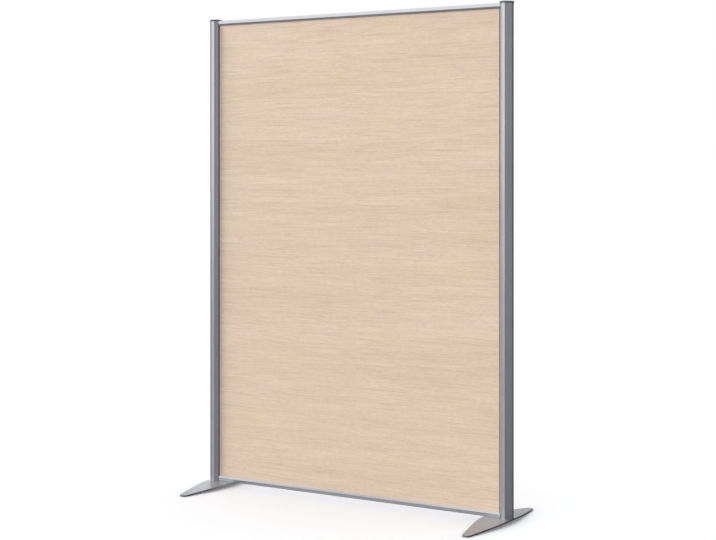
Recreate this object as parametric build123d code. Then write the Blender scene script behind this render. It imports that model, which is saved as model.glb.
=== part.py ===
from build123d import *
import os
from math import radians, sqrt, tan

# Freestanding office partition: a faced board between two slotted octagonal posts, on two steel feet.
# Millimetres, +Z up. The origin is on the floor midway between the posts, and -Y is the front.
# Each end is built once, round the axis of the left post with +X towards the board, then mirrored.

# Overall
overall_height = 1800.0
post_spacing = 1250.0

# Post extrusion
post_across_flats = 50.0
post_slot_flat = 14.0
post_inner_face = 18.0
post_corner_radius = 0.8
post_wall = 2.0
post_web = 1.8
port_bore = 8.2
port_wall = 2.2

# Linking slot in each flat of the post: a shallow seat, a mouth between two lips, a cavity
slot_seat_depth = 1.4
slot_seat_shoulder = 0.7
slot_lip = 2.0
slot_mouth = 8.0
slot_cavity_width = 13.0
slot_cavity_depth = 5.0
slot_wall = 1.8

# Strips that snap in the slots
snap_fit = 0.1
snap_leg = 1.1
snap_barb = 0.8
snap_barb_length = 2.2
seal_stem_width = 7.0

# Post cap
cap_height = 5.0
cap_proud = 1.25
cap_skirt = 2.0
cap_skirt_fit = 0.1
cap_skirt_gap = 1.0
cap_edge_break = 1.2
cap_leg_width = 6.2
cap_leg_fin = 1.6
cap_leg_length = 18.0
cap_leg_fit = 0.15

# Rails, measured from the outer face towards the board
cap_above_rail = 5.2
rail_depth = 25.0
rail_height = 19.0
rail_face = 12.0
rail_wall = 2.2
rail_side_wall = 2.0
rail_web_top = 8.0
rail_channel_floor = 10.0
rail_lip_edge = 0.7
rail_corner_radius = 0.8
rail_joint = 0.8

# Board and its edging
board_joint = 5.5
board_thickness = 19.0
board_fit = 0.1
board_play = 0.3
band_thickness = 2.0

# Cast hooks that join rail and post
lock_tongue = 60.0
lock_fit = 0.1
lock_corner_radius = 3.0
lock_near_hole = 42.0
lock_far_hole = 66.0

# Screws in the rails
rail_screw = 5.0
rail_screw_head = 9.2
rail_screw_length = 7.4
rail_screw_key = 3.0
rail_screw_key_depth = 1.6
rail_screw_hole = 5.5

# Foot plate
foot_length = 496.0
foot_width = 105.0
foot_tip_width = 27.0
foot_tip_radius = 10.0
foot_side_curve_share = 0.48
foot_inset = 28.0
foot_thickness = 5.0
foot_top = 20.0
foot_seat = 80.0
foot_bend_radius = 400.0

# Glides under the foot's tips
pad_height = 1.5
pad_width = 16.0
pad_length = 28.0
pad_corner = 3.0
pad_inset = 24.0

# Foot bolt and washer
foot_bolt = 8.0
foot_bolt_head = 14.0
foot_bolt_head_height = 4.4
foot_bolt_length = 40.0
foot_bolt_key = 5.0
foot_bolt_key_depth = 2.6
foot_bolt_hole = 8.6
washer_width = 20.0
washer_thickness = 1.6
washer_hole = 8.4

# Screw from the foot into the bottom rail's hook
foot_screw_head = 9.5
foot_screw_head_height = 2.8
foot_screw_length = 12.0

# Shared by every cut and every screw
overrun = 1.0
thread_fit = 0.1

post_half = post_across_flats / 2
post_top = overall_height - cap_height
rail_top = overall_height - cap_above_rail
rail_end = post_inner_face + rail_joint
board_end = post_inner_face + board_joint
rail_length = post_spacing - 2 * rail_end
corner_turn = 45
octagon_turn = tan(radians(corner_turn / 2))
seat_x = post_half - slot_seat_depth
lip_x = seat_x - slot_lip
floor_x = lip_x - slot_cavity_depth
seat_width = post_slot_flat - 2 * slot_seat_shoulder
inner_shift = post_inner_face - post_half
quarter_turns = (0, 90, 180, 270)

foot_level = Pos(0, 0, foot_top)
top_level = Pos(0, 0, rail_top) * Rot(180, 0, 0)
at_left_post = Pos(-post_spacing / 2, 0, 0)
at_inner_slot = Pos(inner_shift, 0, 0)
slot_places = [at_inner_slot, Rot(0, 0, 90), Rot(0, 0, 180), Rot(0, 0, 270)]


def block(x, y, z):
    """A box between two values along each axis."""
    centre = Pos(sum(x) / 2, sum(y) / 2, sum(z) / 2)
    return centre * Box(x[1] - x[0], y[1] - y[0], z[1] - z[0])


def band(near, far, width):
    """A rectangle from near to far along X, centred on the X axis."""
    return Pos((near + far) / 2, 0) * Rectangle(far - near, width)


def post_outline(grow):
    """The post's octagon, cut back on the board's side, and moved outwards by grow."""
    half = post_half + grow
    flat = post_slot_flat / 2 + grow * octagon_turn
    side = (Vector(half, -flat), Vector(half, flat))
    corners = [point.rotate(Axis.Z, turn) for turn in quarter_turns for point in side]
    octagon = make_face(Polyline(*corners, close=True))
    return octagon & band(-half, post_inner_face + grow, 2 * half)


def post_section():
    """Outline with four undercut slots, a central screw port on webs and four corner chambers."""
    outline = post_outline(0)
    outline = fillet(outline.vertices(), post_corner_radius)
    seat = band(seat_x, post_half + overrun, seat_width)
    mouth = band(lip_x, post_half, slot_mouth)
    cavity = band(floor_x, lip_x, slot_cavity_width)
    slot = seat + mouth + cavity
    walls = band(floor_x - slot_wall, post_half, slot_cavity_width + 2 * slot_wall)
    web = band(0, post_half, post_web)
    kept = Circle(port_bore / 2 + port_wall)
    kept += [place * (walls + web) for place in slot_places]
    section = outline - (post_outline(-post_wall) - kept)
    section -= [place * slot for place in slot_places]
    return section - Circle(port_bore / 2)


def post():
    """The whole extrusion, from the foot plate to the cap."""
    return foot_level * extrude(post_section(), amount=post_top - foot_top)


def snap_strip_section(face):
    """A strip for the slot that faces +X: a face that fills the seat, and two barbed legs."""
    outer = slot_mouth / 2 - snap_fit
    inner = outer - snap_leg
    barb = lip_x - snap_fit
    tip = barb - snap_barb_length
    leg = Polyline(
        (seat_x, inner),
        (seat_x, outer),
        (barb, outer),
        (barb, outer + snap_barb),
        (tip, outer),
        (tip, inner),
        close=True,
    )
    leg = make_face(leg)
    return face + leg + mirror(leg, about=Plane.XZ)


def slot_cover():
    """Flush cover of one slot, over the whole post."""
    face = band(seat_x, post_half, seat_width - 2 * snap_fit)
    return foot_level * extrude(snap_strip_section(face), amount=post_top - foot_top)


def panel_seal():
    """Strip in the inner slot, with a stem up to the board's edge, from hook to hook."""
    base = band(seat_x, post_half, seat_width - 2 * snap_fit)
    stem = band(seat_x, board_end - inner_shift, seal_stem_width)
    strip = at_inner_slot * snap_strip_section(base + stem)
    foot_end = foot_top + rail_height + snap_fit
    head_end = rail_top - rail_height - snap_fit
    return Pos(0, 0, foot_end) * extrude(strip, amount=head_end - foot_end)


def cap_plate():
    """Proud plate with its edge broken and a skirt round the post, open towards the board."""
    plate = extrude(post_outline(cap_proud), amount=cap_height)
    plate = chamfer(plate.edges().group_by(Axis.Z)[-1], cap_edge_break)
    ring = post_outline(cap_proud) - post_outline(cap_skirt_fit)
    ring &= band(-post_across_flats, post_inner_face - cap_skirt_gap, 2 * post_across_flats)
    return plate + extrude(ring, amount=cap_skirt, dir=(0, 0, -1))


def post_cap():
    """The plate on four crossed legs that stand in the post's corner chambers."""
    chamber_face = (post_half + post_slot_flat / 2) / sqrt(2) - post_wall
    reach = chamber_face - cap_leg_fit - cap_leg_width / 2
    fins = Rectangle(cap_leg_width, cap_leg_fin) + Rectangle(cap_leg_fin, cap_leg_width)
    leg = extrude(fins, amount=cap_leg_length, dir=(0, 0, -1))
    legs = [Rot(0, 0, turn + corner_turn) * Pos(reach, 0, 0) * leg for turn in quarter_turns]
    return Pos(0, 0, post_top) * (cap_plate() + legs)


def rail_section():
    """Upright sides that bevel in to the board, a hollow for the hooks and a channel for the board."""
    side = rail_depth / 2
    channel = board_thickness / 2 + board_fit
    lip = channel + rail_lip_edge
    half = Polyline(
        (0, 0),
        (side, 0),
        (side, rail_face),
        (lip, rail_height),
        (0, rail_height),
        close=True,
    )
    half = make_face(half)
    half = fillet(half.vertices().sort_by(Axis.Y)[:2].sort_by(Axis.X)[-1], rail_corner_radius)
    outline = half + mirror(half, about=Plane.YZ)
    hollow = Pos(0, (rail_wall + rail_web_top) / 2)
    hollow *= Rectangle(rail_depth - 2 * rail_side_wall, rail_web_top - rail_wall)
    slot = Pos(0, (rail_channel_floor + rail_height + overrun) / 2)
    slot *= Rectangle(2 * channel, rail_height + overrun - rail_channel_floor)
    return outline - hollow - slot


def rail_places(reach):
    """The same place on both ends of a rail, reach away from the post's axis."""
    return Locations((-post_spacing / 2 + reach, 0), (post_spacing / 2 - reach, 0))


def countersink(radius, bore, depth):
    """A hole or a screw: a 90 degree cone from the surface down to a straight shank."""
    cone_height = radius - bore
    start = (Align.CENTER, Align.CENTER, Align.MIN)
    return Cone(radius, bore, cone_height, align=start) + Cylinder(bore, depth, align=start)


def rail(holes):
    """One rail with its outer face at zero and the board towards +Z."""
    bar = extrude(Plane.YZ * rail_section(), amount=rail_length / 2, both=True)
    return bar - holes


def lock_holes():
    """Countersunk holes through the rail's outer wall, over the hooks' near threads."""
    hole = countersink(rail_screw_head / 2 + thread_fit, rail_screw_hole / 2, rail_wall + overrun)
    return [place * hole for place in rail_places(lock_near_hole)]


def foot_holes():
    """Plain holes through the rail's outer wall for the screws that come up through the feet."""
    hole = Cylinder(rail_screw_hole / 2, 2 * (rail_wall + overrun))
    return [place * hole for place in rail_places(lock_far_hole)]


def rail_lock():
    """Cast hook: a tongue in the rail, a neck through the slot's mouth, a T head behind its lips."""
    wide = rail_depth / 2 - rail_side_wall - lock_fit
    low = rail_wall + lock_fit
    high = rail_web_top - lock_fit
    neck = slot_mouth / 2 - lock_fit
    head = slot_cavity_width / 2 - lock_fit
    lip = lip_x + inner_shift
    floor = floor_x + inner_shift + lock_fit
    tongue = block((rail_end, rail_end + lock_tongue), (-wide, wide), (low, high))
    far_corners = tongue.edges().filter_by(Axis.Z).group_by(Axis.X)[-1]
    tongue = fillet(far_corners, lock_corner_radius)
    neck = block((lip, rail_end), (-neck, neck), (lock_fit, high))
    head = block((floor, lip), (-head, head), (lock_fit, rail_height))
    threads = Cylinder(rail_screw / 2 + thread_fit, 2 * rail_height)
    holes = [Pos(reach, 0, 0) * threads for reach in (lock_near_hole, lock_far_hole)]
    return tongue + neck + head - holes


def hexagon_key(width, depth):
    """Prism of a hexagon socket, width across its flats."""
    return extrude(RegularPolygon(width / 2, 6, major_radius=False), amount=depth)


def lock_screw():
    """Countersunk screw with its head flush at zero."""
    screw = countersink(rail_screw_head / 2, rail_screw / 2, rail_screw_length)
    return screw - hexagon_key(rail_screw_key, rail_screw_key_depth)


def button_screw(diameter, head_width, head_height, length, key, key_depth):
    """Button head screw standing on its head's seat at zero, shank upwards."""
    start = (Align.CENTER, Align.CENTER, Align.MIN)
    under = (Align.CENTER, Align.CENTER, Align.MAX)
    head = Cylinder(head_width / 2, head_height, align=under)
    head = chamfer(head.edges().group_by(Axis.Z)[0], head_height / 2)
    screw = head + Cylinder(diameter / 2, length, align=start)
    return screw - Pos(0, 0, -head_height) * hexagon_key(key, key_depth)


def foot_line(height):
    """The foot seen from its side: a level seat, a bend at each end of it, wings down to the tips."""
    fall = foot_top - foot_thickness - pad_height
    return FilletPolyline(
        (-foot_length / 2, height - fall),
        (-foot_seat / 2, height),
        (foot_seat / 2, height),
        (foot_length / 2, height - fall),
        radius=foot_bend_radius,
    )


def foot_side(high, low):
    """Face between two foot lines, or between a foot line and the floor."""
    ends = [Line(high @ end, low @ end) for end in (0, 1)]
    return make_face(high + low + ends)


def foot_outline():
    """The foot seen from above: sides that bow round the middle and run straight to blunt tips."""
    half = foot_width / 2
    tip = foot_tip_width / 2
    end = foot_length / 2
    curved = end * foot_side_curve_share
    lean = (half - tip) / (2 * end - curved)
    bow = TangentArc((half, 0), (half - curved * lean, curved), tangent=(0, 1))
    side = bow + Line(bow @ 1, (tip, end))
    front = side + mirror(side, about=Plane.YZ) + Line((-tip, end), (tip, end))
    outline = make_face(front + mirror(front, about=Plane.XZ))
    return fillet(outline.vertices().filter_by(lambda corner: abs(corner.Y) == end), foot_tip_radius)


def foot():
    """Steel plate, cut to its outline, bent to stand on its tips, with its two holes."""
    high = foot_line(foot_top)
    low = foot_line(foot_top - foot_thickness)
    plate = extrude(Plane.YZ * foot_side(high, low), amount=foot_width, both=True)
    plate &= extrude(foot_outline(), amount=foot_top + overrun)
    plate = Pos(foot_inset, 0, 0) * plate
    plate -= Cylinder(foot_bolt_hole / 2, 2 * (foot_top + overrun))
    return plate - Pos(lock_far_hole, 0, 0) * Cylinder(rail_screw_hole / 2, 2 * (foot_top + overrun))


def foot_pad(side):
    """Glide with clipped corners, cut to the slope of the tip above it."""
    low = foot_line(foot_top - foot_thickness)
    floor = Line((-foot_length / 2, 0), (foot_length / 2, 0))
    under = extrude(Plane.YZ * foot_side(low, floor), amount=foot_width, both=True)
    outline = Rectangle(pad_width, pad_length)
    outline = chamfer(outline.vertices(), pad_corner)
    glide = Pos(0, side * (foot_length / 2 - pad_inset), 0) * extrude(outline, amount=foot_top)
    return Pos(foot_inset, 0, 0) * (glide & under)


def foot_bolt_at_seat():
    """Bolt up through washer and foot into the post's port."""
    key = (foot_bolt_key, foot_bolt_key_depth)
    bolt = button_screw(foot_bolt, foot_bolt_head, foot_bolt_head_height, foot_bolt_length, *key)
    return Pos(0, 0, foot_top - foot_thickness - washer_thickness) * bolt


def foot_washer():
    """Washer between the foot and its bolt."""
    ring = Circle(washer_width / 2) - Circle(washer_hole / 2)
    return Pos(0, 0, foot_top - foot_thickness - washer_thickness) * extrude(ring, amount=washer_thickness)


def foot_rail_screw():
    """Screw up through the foot and the rail's wall into the hook, so that the foot cannot turn."""
    key = (rail_screw_key, rail_screw_key_depth)
    screw = button_screw(rail_screw, foot_screw_head, foot_screw_head_height, foot_screw_length, *key)
    return Pos(lock_far_hole, 0, foot_top - foot_thickness) * screw


def board():
    """The board, standing on the bottom rail's web, short of the top rail's by its play."""
    side = post_spacing / 2 - board_end - band_thickness
    return block((-side, side), (-board_thickness / 2, board_thickness / 2), board_levels())


def board_levels():
    """Lower and upper level of the board and its edging."""
    return (foot_top + rail_channel_floor, rail_top - rail_channel_floor - board_play)


def edge_band():
    """Edging on the board's upright edge."""
    across = (-board_thickness / 2, board_thickness / 2)
    return block((board_end, board_end + band_thickness), across, board_levels())


def lock_screws(level):
    """The countersunk screws of one rail, as separate solids."""
    return Compound([level * place * lock_screw() for place in rail_places(lock_near_hole)])


end_parts = {
    "post_{}": post(),
    "slot_cover_{}_front": Rot(0, 0, -90) * slot_cover(),
    "slot_cover_{}_back": Rot(0, 0, 90) * slot_cover(),
    "slot_cover_{}_outer": Rot(0, 0, 180) * slot_cover(),
    "panel_seal_{}": panel_seal(),
    "post_cap_{}": post_cap(),
    "edge_band_{}": edge_band(),
    "rail_lock_top_{}": top_level * rail_lock(),
    "rail_lock_bottom_{}": foot_level * rail_lock(),
    "foot_{}": foot(),
    "foot_bolt_{}": foot_bolt_at_seat(),
    "foot_washer_{}": foot_washer(),
    "foot_rail_screw_{}": foot_rail_screw(),
    "foot_pad_{}_front": foot_pad(-1),
    "foot_pad_{}_back": foot_pad(1),
}
parts = {
    "panel_board": board(),
    "top_rail": top_level * rail(lock_holes()),
    "bottom_rail": foot_level * rail(lock_holes() + foot_holes()),
    "lock_screws_top": lock_screws(top_level),
    "lock_screws_bottom": lock_screws(foot_level),
}
for name, shape in end_parts.items():
    parts[name.format("left")] = at_left_post * shape
    parts[name.format("right")] = mirror(at_left_post * shape, about=Plane.YZ)

os.makedirs("parts", exist_ok=True)
for name, shape in parts.items():
    export_step(shape, f"parts/{name}.step")
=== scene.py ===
import logging
import math
from collections.abc import Callable
from dataclasses import dataclass, field, replace
from enum import Enum

import bmesh
import bpy
from mathutils import Color, Matrix, Vector


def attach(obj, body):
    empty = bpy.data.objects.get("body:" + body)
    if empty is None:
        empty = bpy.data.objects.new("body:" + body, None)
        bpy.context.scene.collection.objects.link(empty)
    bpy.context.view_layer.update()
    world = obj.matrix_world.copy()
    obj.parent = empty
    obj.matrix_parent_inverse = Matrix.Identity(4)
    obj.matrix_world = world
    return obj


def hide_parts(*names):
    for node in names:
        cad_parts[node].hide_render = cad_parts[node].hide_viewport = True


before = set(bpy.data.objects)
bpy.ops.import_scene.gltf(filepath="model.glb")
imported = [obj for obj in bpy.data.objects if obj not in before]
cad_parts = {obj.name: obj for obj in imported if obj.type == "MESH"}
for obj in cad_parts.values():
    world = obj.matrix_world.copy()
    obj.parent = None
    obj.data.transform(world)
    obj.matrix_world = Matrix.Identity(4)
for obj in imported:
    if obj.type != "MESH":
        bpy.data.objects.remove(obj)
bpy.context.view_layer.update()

# Looks of a freestanding office partition: a beech-faced board in level aluminium rails between two slotted
# octagonal posts, on two bent steel feet. Metres in Blender, millimetres in the dataclass fields.
# Each end is drawn round the left post's axis with +X towards the board, then placed or mirrored.

log = logging.getLogger("partition")

MM = 0.001
BODY = "root"
SMOOTH_ANGLE = math.radians(32)
QUARTER = math.radians(90)
EIGHTH = math.radians(45)
SIXTH = math.radians(60)
OCTAGON = math.tan(EIGHTH / 2)
ROUND = 36

# A Mix node's sockets for colours, by number.
MIX_SHARE, FIRST_COLOUR, SECOND_COLOUR, MIXED_COLOUR = 0, 6, 7, 2

# How much the finer layers of a noise count, and the two values that nearly all of it lies between.
NOISE_ROUGHNESS, NOISE_LOW, NOISE_HIGH = 0.55, 0.3, 0.7

# Points of a mesh, or of a drawn profile, that are nearer than this many metres are made one.
DOUBLES = 1e-7
SEAM = 1e-6

# The corner radius of an edge that is meant to be sharp, in millimetres.
SHARP = 0.1

Pair = tuple[float, float]
Point = tuple[float, float, float]
Outline = list[Point]
Mesh = bpy.types.Mesh
Material = bpy.types.Material
Node = bpy.types.Node
Socket = bpy.types.NodeSocket
Sockets = bpy.types.bpy_prop_collection
Tree = bpy.types.NodeTree


class Side(Enum):
    """Which end of the partition a piece belongs to."""

    LEFT = "left"
    RIGHT = "right"


class Level(Enum):
    """Which of the two rails a piece belongs to."""

    TOP = "top"
    BOTTOM = "bottom"


class Turn(Enum):
    """The way a linking slot of the left post faces, as a turn about its axis."""

    FRONT = -90
    BACK = 90
    OUTER = 180


# Nodes

def linear(code: str) -> tuple[float, ...]:
    """Returns an sRGB colour, given as "#RRGGBB", as a linear one with an alpha of one."""
    return *Color(int(code[i:i + 2], 16) / 255 for i in (1, 3, 5)).from_srgb_to_scene_linear(), 1.0


def add_node(tree: Tree, kind: str, inputs: dict | None = None, **settings: object) -> Node:
    """Adds a node to a shader, world or geometry tree.

    Args:
        tree: The tree that gets the node.
        kind: Blender's name of the node's type.
        inputs: Values, hex colours or sockets for its inputs, by name or index.
        settings: Values of the node's own properties.

    Returns:
        The new node.
    """
    node = tree.nodes.new(kind)
    for key, value in settings.items():
        setattr(node, key, value)
    for key, value in (inputs or {}).items():
        if isinstance(value, Socket):
            tree.links.new(value, node.inputs[key])
        elif isinstance(value, str) and value.startswith("#"):
            node.inputs[key].default_value = linear(value)
        else:
            node.inputs[key].default_value = value
    return node


def emptied(block: bpy.types.ID) -> Tree:
    """Gives a material or a world an empty node tree.

    Args:
        block: The material or world.

    Returns:
        Its tree.
    """
    block.use_nodes = True
    block.node_tree.nodes.clear()
    return block.node_tree


def mottle(tree: Tree, size: Point, detail: float = 2.0, low: float = 0.0, high: float = 1.0,
           point: Socket | None = None) -> Socket:
    """Draws a soft random pattern with marks of a real size.

    Args:
        tree: The material's tree.
        size: How long a mark is along X, Y and Z, in millimetres.
        detail: How many finer layers the marks have.
        low: The value where the pattern is lowest.
        high: The value where it is highest.
        point: Where the pattern is read, or None for Object coordinates.

    Returns:
        The pattern's value.
    """
    if point is None:
        point = add_node(tree, "ShaderNodeTexCoord").outputs["Object"]
    scaled = add_node(tree, "ShaderNodeMapping",
                      {"Vector": point, "Scale": tuple(1 / (length * MM) for length in size)})
    noise = add_node(tree, "ShaderNodeTexNoise", {
        "Vector": scaled.outputs[0], "Scale": 1.0, "Detail": detail, "Roughness": NOISE_ROUGHNESS})
    return add_node(tree, "ShaderNodeMapRange", {
        "Value": noise.outputs["Fac"], "From Min": NOISE_LOW, "From Max": NOISE_HIGH, "To Min": low,
        "To Max": high}).outputs[0]


# Finishes

@dataclass(frozen=True)
class Finish:
    """What a surface is made of: a slow cloud in its tone, and a fine grain in its sheen and height.

    Marks are measured along X, Y and Z, in millimetres. The sheen is what the roughness gains where its
    pattern is lowest, and where it is highest.
    """

    name: str
    slot: str
    colour: str
    other: str
    roughness: float = 0.5
    sheen: Pair = (0.0, 0.0)
    depth: float = 0.03
    metallic: float = 0.0
    ior: float = 1.5
    grain: Point = (1.0, 1.0, 1.0)
    grain_detail: float = 1.0
    grain_tone: float = 0.0
    cloud: Point = (40.0, 40.0, 120.0)
    cloud_detail: float = 2.0

    def ends(self, tree: Tree) -> tuple[object, object]:
        """Returns the two colours that the tone runs between."""
        return self.colour, self.other

    def patterns(self, tree: Tree) -> tuple[Socket, Socket, Socket]:
        """Draws the grain and the cloud, which mix in the tone.

        Args:
            tree: The material's tree.

        Returns:
            The patterns of the tone, the sheen and the height.
        """
        grain = mottle(tree, self.grain, self.grain_detail)
        cloud = add_node(tree, "ShaderNodeMath", {
            0: mottle(tree, self.cloud, self.cloud_detail), 1: 1 - self.grain_tone}, operation="MULTIPLY")
        tone = add_node(tree, "ShaderNodeMath", {0: grain, 1: self.grain_tone, 2: cloud.outputs[0]},
                        operation="MULTIPLY_ADD")
        return tone.outputs[0], grain, grain

    def material(self) -> Material:
        """Makes the material.

        Returns:
            The new material.
        """
        material = bpy.data.materials.new(self.name)
        material.diffuse_color = linear(self.colour)
        tree = emptied(material)
        shader = add_node(tree, "ShaderNodeBsdfPrincipled", {
            "Base Color": self.colour, "Metallic": self.metallic, "Roughness": self.roughness,
            "IOR": self.ior})
        add_node(tree, "ShaderNodeOutputMaterial", {"Surface": shader.outputs[0]})
        tone, sheen, height = self.patterns(tree)
        first, second = self.ends(tree)
        colour = add_node(tree, "ShaderNodeMix", {
            MIX_SHARE: tone, FIRST_COLOUR: first, SECOND_COLOUR: second}, data_type="RGBA")
        tree.links.new(colour.outputs[MIXED_COLOUR], shader.inputs["Base Color"])
        bump = add_node(tree, "ShaderNodeBump", {
            "Height": height, "Distance": self.depth * MM, "Strength": 1.0})
        tree.links.new(bump.outputs[0], shader.inputs["Normal"])
        if any(self.sheen):
            low, high = (self.roughness + step for step in self.sheen)
            rough = add_node(tree, "ShaderNodeMapRange", {"Value": sheen, "To Min": low, "To Max": high})
            tree.links.new(rough.outputs[0], shader.inputs["Roughness"])
        return material

    def shared(self) -> Material:
        """Returns the one material of this finish, made when it is first asked for."""
        return bpy.data.materials.get(self.name) or self.material()


@dataclass(frozen=True)
class BeechFacing(Finish):
    """Melamine facing printed as bleached beech, with a fine pressed pore.

    The grain lies level. It shows as fine fibre, long streaks, short flecks, soft wide bands and a faint
    arched figure, in patches that are a little pinker or yellower. Beech flecks are under 1 mm high; they are
    drawn 4 mm high, because finer ones don't show at this size.
    """

    deep_pink: str = "#D5BCA7"
    deep_yellow: str = "#D6BFA3"
    pale_yellow: str = "#EBD5BD"
    sheen: Pair = (0.05, -0.03)
    ior: float = 1.45
    grain: Point = (230.0, 9.0, 4.0)
    grain_tone: float = 0.5
    hair: Point = (15.0, 6.0, 4.0)
    hair_tone: float = 0.26
    streak: Point = (900.0, 30.0, 22.0)
    streak_tone: float = 0.14
    band: Point = (1500.0, 60.0, 75.0)
    band_tone: float = 0.26
    fleck: Point = (90.0, 6.0, 4.0)
    fleck_range: Pair = (-2.8, 1.6)
    fleck_tone: float = -0.16
    patch: Point = (300.0, 200.0, 70.0)
    patch_range: Pair = (-1.3, 1.0)
    rings: Point = (2400.0, 300.0, 170.0)
    ring_count: float = 7.0
    ring_edge: float = 0.09
    ring_tone: float = 0.14
    wander: Point = (700.0, 90.0, 160.0)
    wander_reach: float = 5.0
    darkest: float = -0.155

    def ends(self, tree: Tree) -> tuple[object, object]:
        """Draws the patches in which the print is pinker or yellower.

        Args:
            tree: The material's tree.

        Returns:
            The deepest and the palest colour.
        """
        patch = mottle(tree, self.patch, 1.0, *self.patch_range)
        deepest, palest = (
            add_node(tree, "ShaderNodeMix", {MIX_SHARE: patch, FIRST_COLOUR: pink, SECOND_COLOUR: yellow},
                     data_type="RGBA").outputs[MIXED_COLOUR]
            for pink, yellow in ((self.deep_pink, self.deep_yellow), (self.other, self.pale_yellow)))
        return deepest, palest

    def patterns(self, tree: Tree) -> tuple[Socket, Socket, Socket]:
        """Draws the print, its lines bent a little up and down.

        Args:
            tree: The material's tree.

        Returns:
            The layers together for the tone, and the fibre alone for the sheen and the height.
        """
        place = add_node(tree, "ShaderNodeTexCoord").outputs["Object"]
        reach = self.wander_reach * MM
        bend = add_node(tree, "ShaderNodeCombineXYZ", {"Z": mottle(tree, self.wander, 1.0, -reach, reach)})
        point = add_node(tree, "ShaderNodeVectorMath", {0: place, 1: bend.outputs[0]},
                         operation="ADD").outputs[0]
        rings = mottle(tree, self.rings, 1.0, 0.0, self.ring_count, point)
        wave = add_node(tree, "ShaderNodeMath", {0: rings, 1: 0.5}, operation="PINGPONG").outputs[0]
        figure = add_node(tree, "ShaderNodeMapRange", {"Value": wave, "From Max": self.ring_edge},
                          interpolation_type="SMOOTHSTEP").outputs[0]
        fibre = mottle(tree, self.grain, self.grain_detail, point=point)
        tone = self.darkest
        for pattern, share in ((fibre, self.grain_tone),
                               (mottle(tree, self.hair, 0.0, point=point), self.hair_tone),
                               (mottle(tree, self.streak, 1.0, point=point), self.streak_tone),
                               (mottle(tree, self.band, 1.0, point=point), self.band_tone),
                               (figure, self.ring_tone),
                               (mottle(tree, self.fleck, 0.0, *self.fleck_range, point), self.fleck_tone)):
            kept = add_node(tree, "ShaderNodeClamp", {"Value": pattern}).outputs[0]
            tone = add_node(tree, "ShaderNodeMath", {0: kept, 1: share, 2: tone},
                            operation="MULTIPLY_ADD").outputs[0]
        return tone, fibre, fibre


@dataclass(frozen=True)
class Chipboard(Finish):
    """Pressed wood chips, 3 to 8 mm long, seen only on the board's raw edges in the rails."""

    roughness: float = 0.85
    depth: float = 0.2
    chip: float = 5.0

    def patterns(self, tree: Tree) -> tuple[Socket, Socket, Socket]:
        """Draws the chips.

        Args:
            tree: The material's tree.

        Returns:
            Each chip's own tone, twice, and the height.
        """
        place = add_node(tree, "ShaderNodeTexCoord").outputs["Object"]
        chips = add_node(tree, "ShaderNodeTexVoronoi", {"Vector": place, "Scale": 1 / (self.chip * MM)})
        tone = add_node(tree, "ShaderNodeSeparateColor", {0: chips.outputs["Color"]}).outputs[0]
        return tone, tone, chips.outputs["Distance"]


@dataclass(frozen=True)
class ZincPlate(Finish):
    """Bright zinc plating on cold-headed steel, with faint bluish and yellowish patches."""

    roughness: float = 0.3
    sheen: Pair = (-0.06, 0.1)
    depth: float = 0.01
    metallic: float = 1.0
    grain: Point = (0.5, 0.5, 0.5)
    grain_detail: float = 2.0
    cloud: Point = (5.0, 5.0, 5.0)

    def patterns(self, tree: Tree) -> tuple[Socket, Socket, Socket]:
        """Returns the patches, for both the tone and the sheen, and the fine grain's height."""
        patch = mottle(tree, self.cloud, self.cloud_detail)
        return patch, patch, mottle(tree, self.grain, self.grain_detail)


FACING = BeechFacing("bleached_beech_melamine", "board_faces", "#E3CBB9", "#EAD4C0")
CORE = Chipboard("raw_chipboard", "board_faces", "#C4A173", "#9A7650")
PLATING = ZincPlate("bright_zinc_plate", "zinc_plated_steel", "#C3C7CE", "#CFC9B8")

# Extruded aluminium, etched and clear anodised. The etch gives it a broad soft sheen, and the die leaves
# faint lines along the profile. Real lines are 0.2 to 0.5 mm apart; they are drawn 2 mm apart, because finer
# ones don't show at this size.
POST_METAL = Finish("post_satin_aluminium", "post_aluminium", "#C4C6CB", "#D2D4D8", roughness=0.34,
                    sheen=(-0.03, 0.05), depth=0.012, metallic=1.0, grain=(2.0, 2.0, 900.0),
                    grain_detail=3.0, grain_tone=0.55, cloud=(60.0, 60.0, 500.0), cloud_detail=1.0)
# Painted light: the rails are the same aluminium as the posts, drawn paler to stand for the brighter light
# that they catch.
RAIL_METAL = replace(POST_METAL, name="rail_aluminium_painted_paler", slot="rail_aluminium", colour="#E0E1E4",
                     other="#E8E9EB", grain=(900.0, 2.0, 2.0), cloud=(500.0, 60.0, 60.0))

# Injection moulded or extruded plastic, or rubber: a fine even texture and a slight change of tone. The
# spark-eroded grain is about 0.3 mm; it is drawn 1 mm wide so that it breaks up the sheen.
CAP = Finish("grey_moulded_abs", "cap_plastic", "#5C5E63", "#666870", roughness=0.44, sheen=(-0.05, 0.06))
GLIDE = replace(CAP, name="black_moulded_pe", slot="glide_plastic", colour="#17171A", other="#222226",
                roughness=0.6)
SEAL = replace(CAP, name="grey_epdm_rubber", slot="seal_rubber", colour="#B8AA9E", other="#C2B5AA",
               roughness=0.78, depth=0.04)

# Co-extruded PVC with aluminium flake, silver grey and satin, so it glints a little like metal.
STRIP = replace(CAP, name="silver_pvc_strip", slot="cover_strip", colour="#D8DADF", other="#E2E3E7",
                roughness=0.36, depth=0.02, metallic=0.84)

# ABS edging, 2 mm, with faint streaks along it. It is painted near white, far paler than the facing, as
# painted light in the shaded joints by the posts.
EDGING = Finish("abs_edging_painted_pale", "board_edging", "#FBEFE2", "#FFF8EE", depth=0.02, ior=1.54,
                grain=(3.0, 3.0, 160.0), grain_detail=2.0, grain_tone=1.0)

# Silver grey powder coat on laser-cut steel: fine orange peel, a soft sheen and a little flake.
FOOT = Finish("silver_powder_coat", "foot_steel", "#9B9CA1", "#A4A5A9", roughness=0.36,
              sheen=(-0.04, 0.06), metallic=0.8, grain=(1.6, 1.6, 1.6), cloud=(90.0, 90.0, 30.0))
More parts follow.
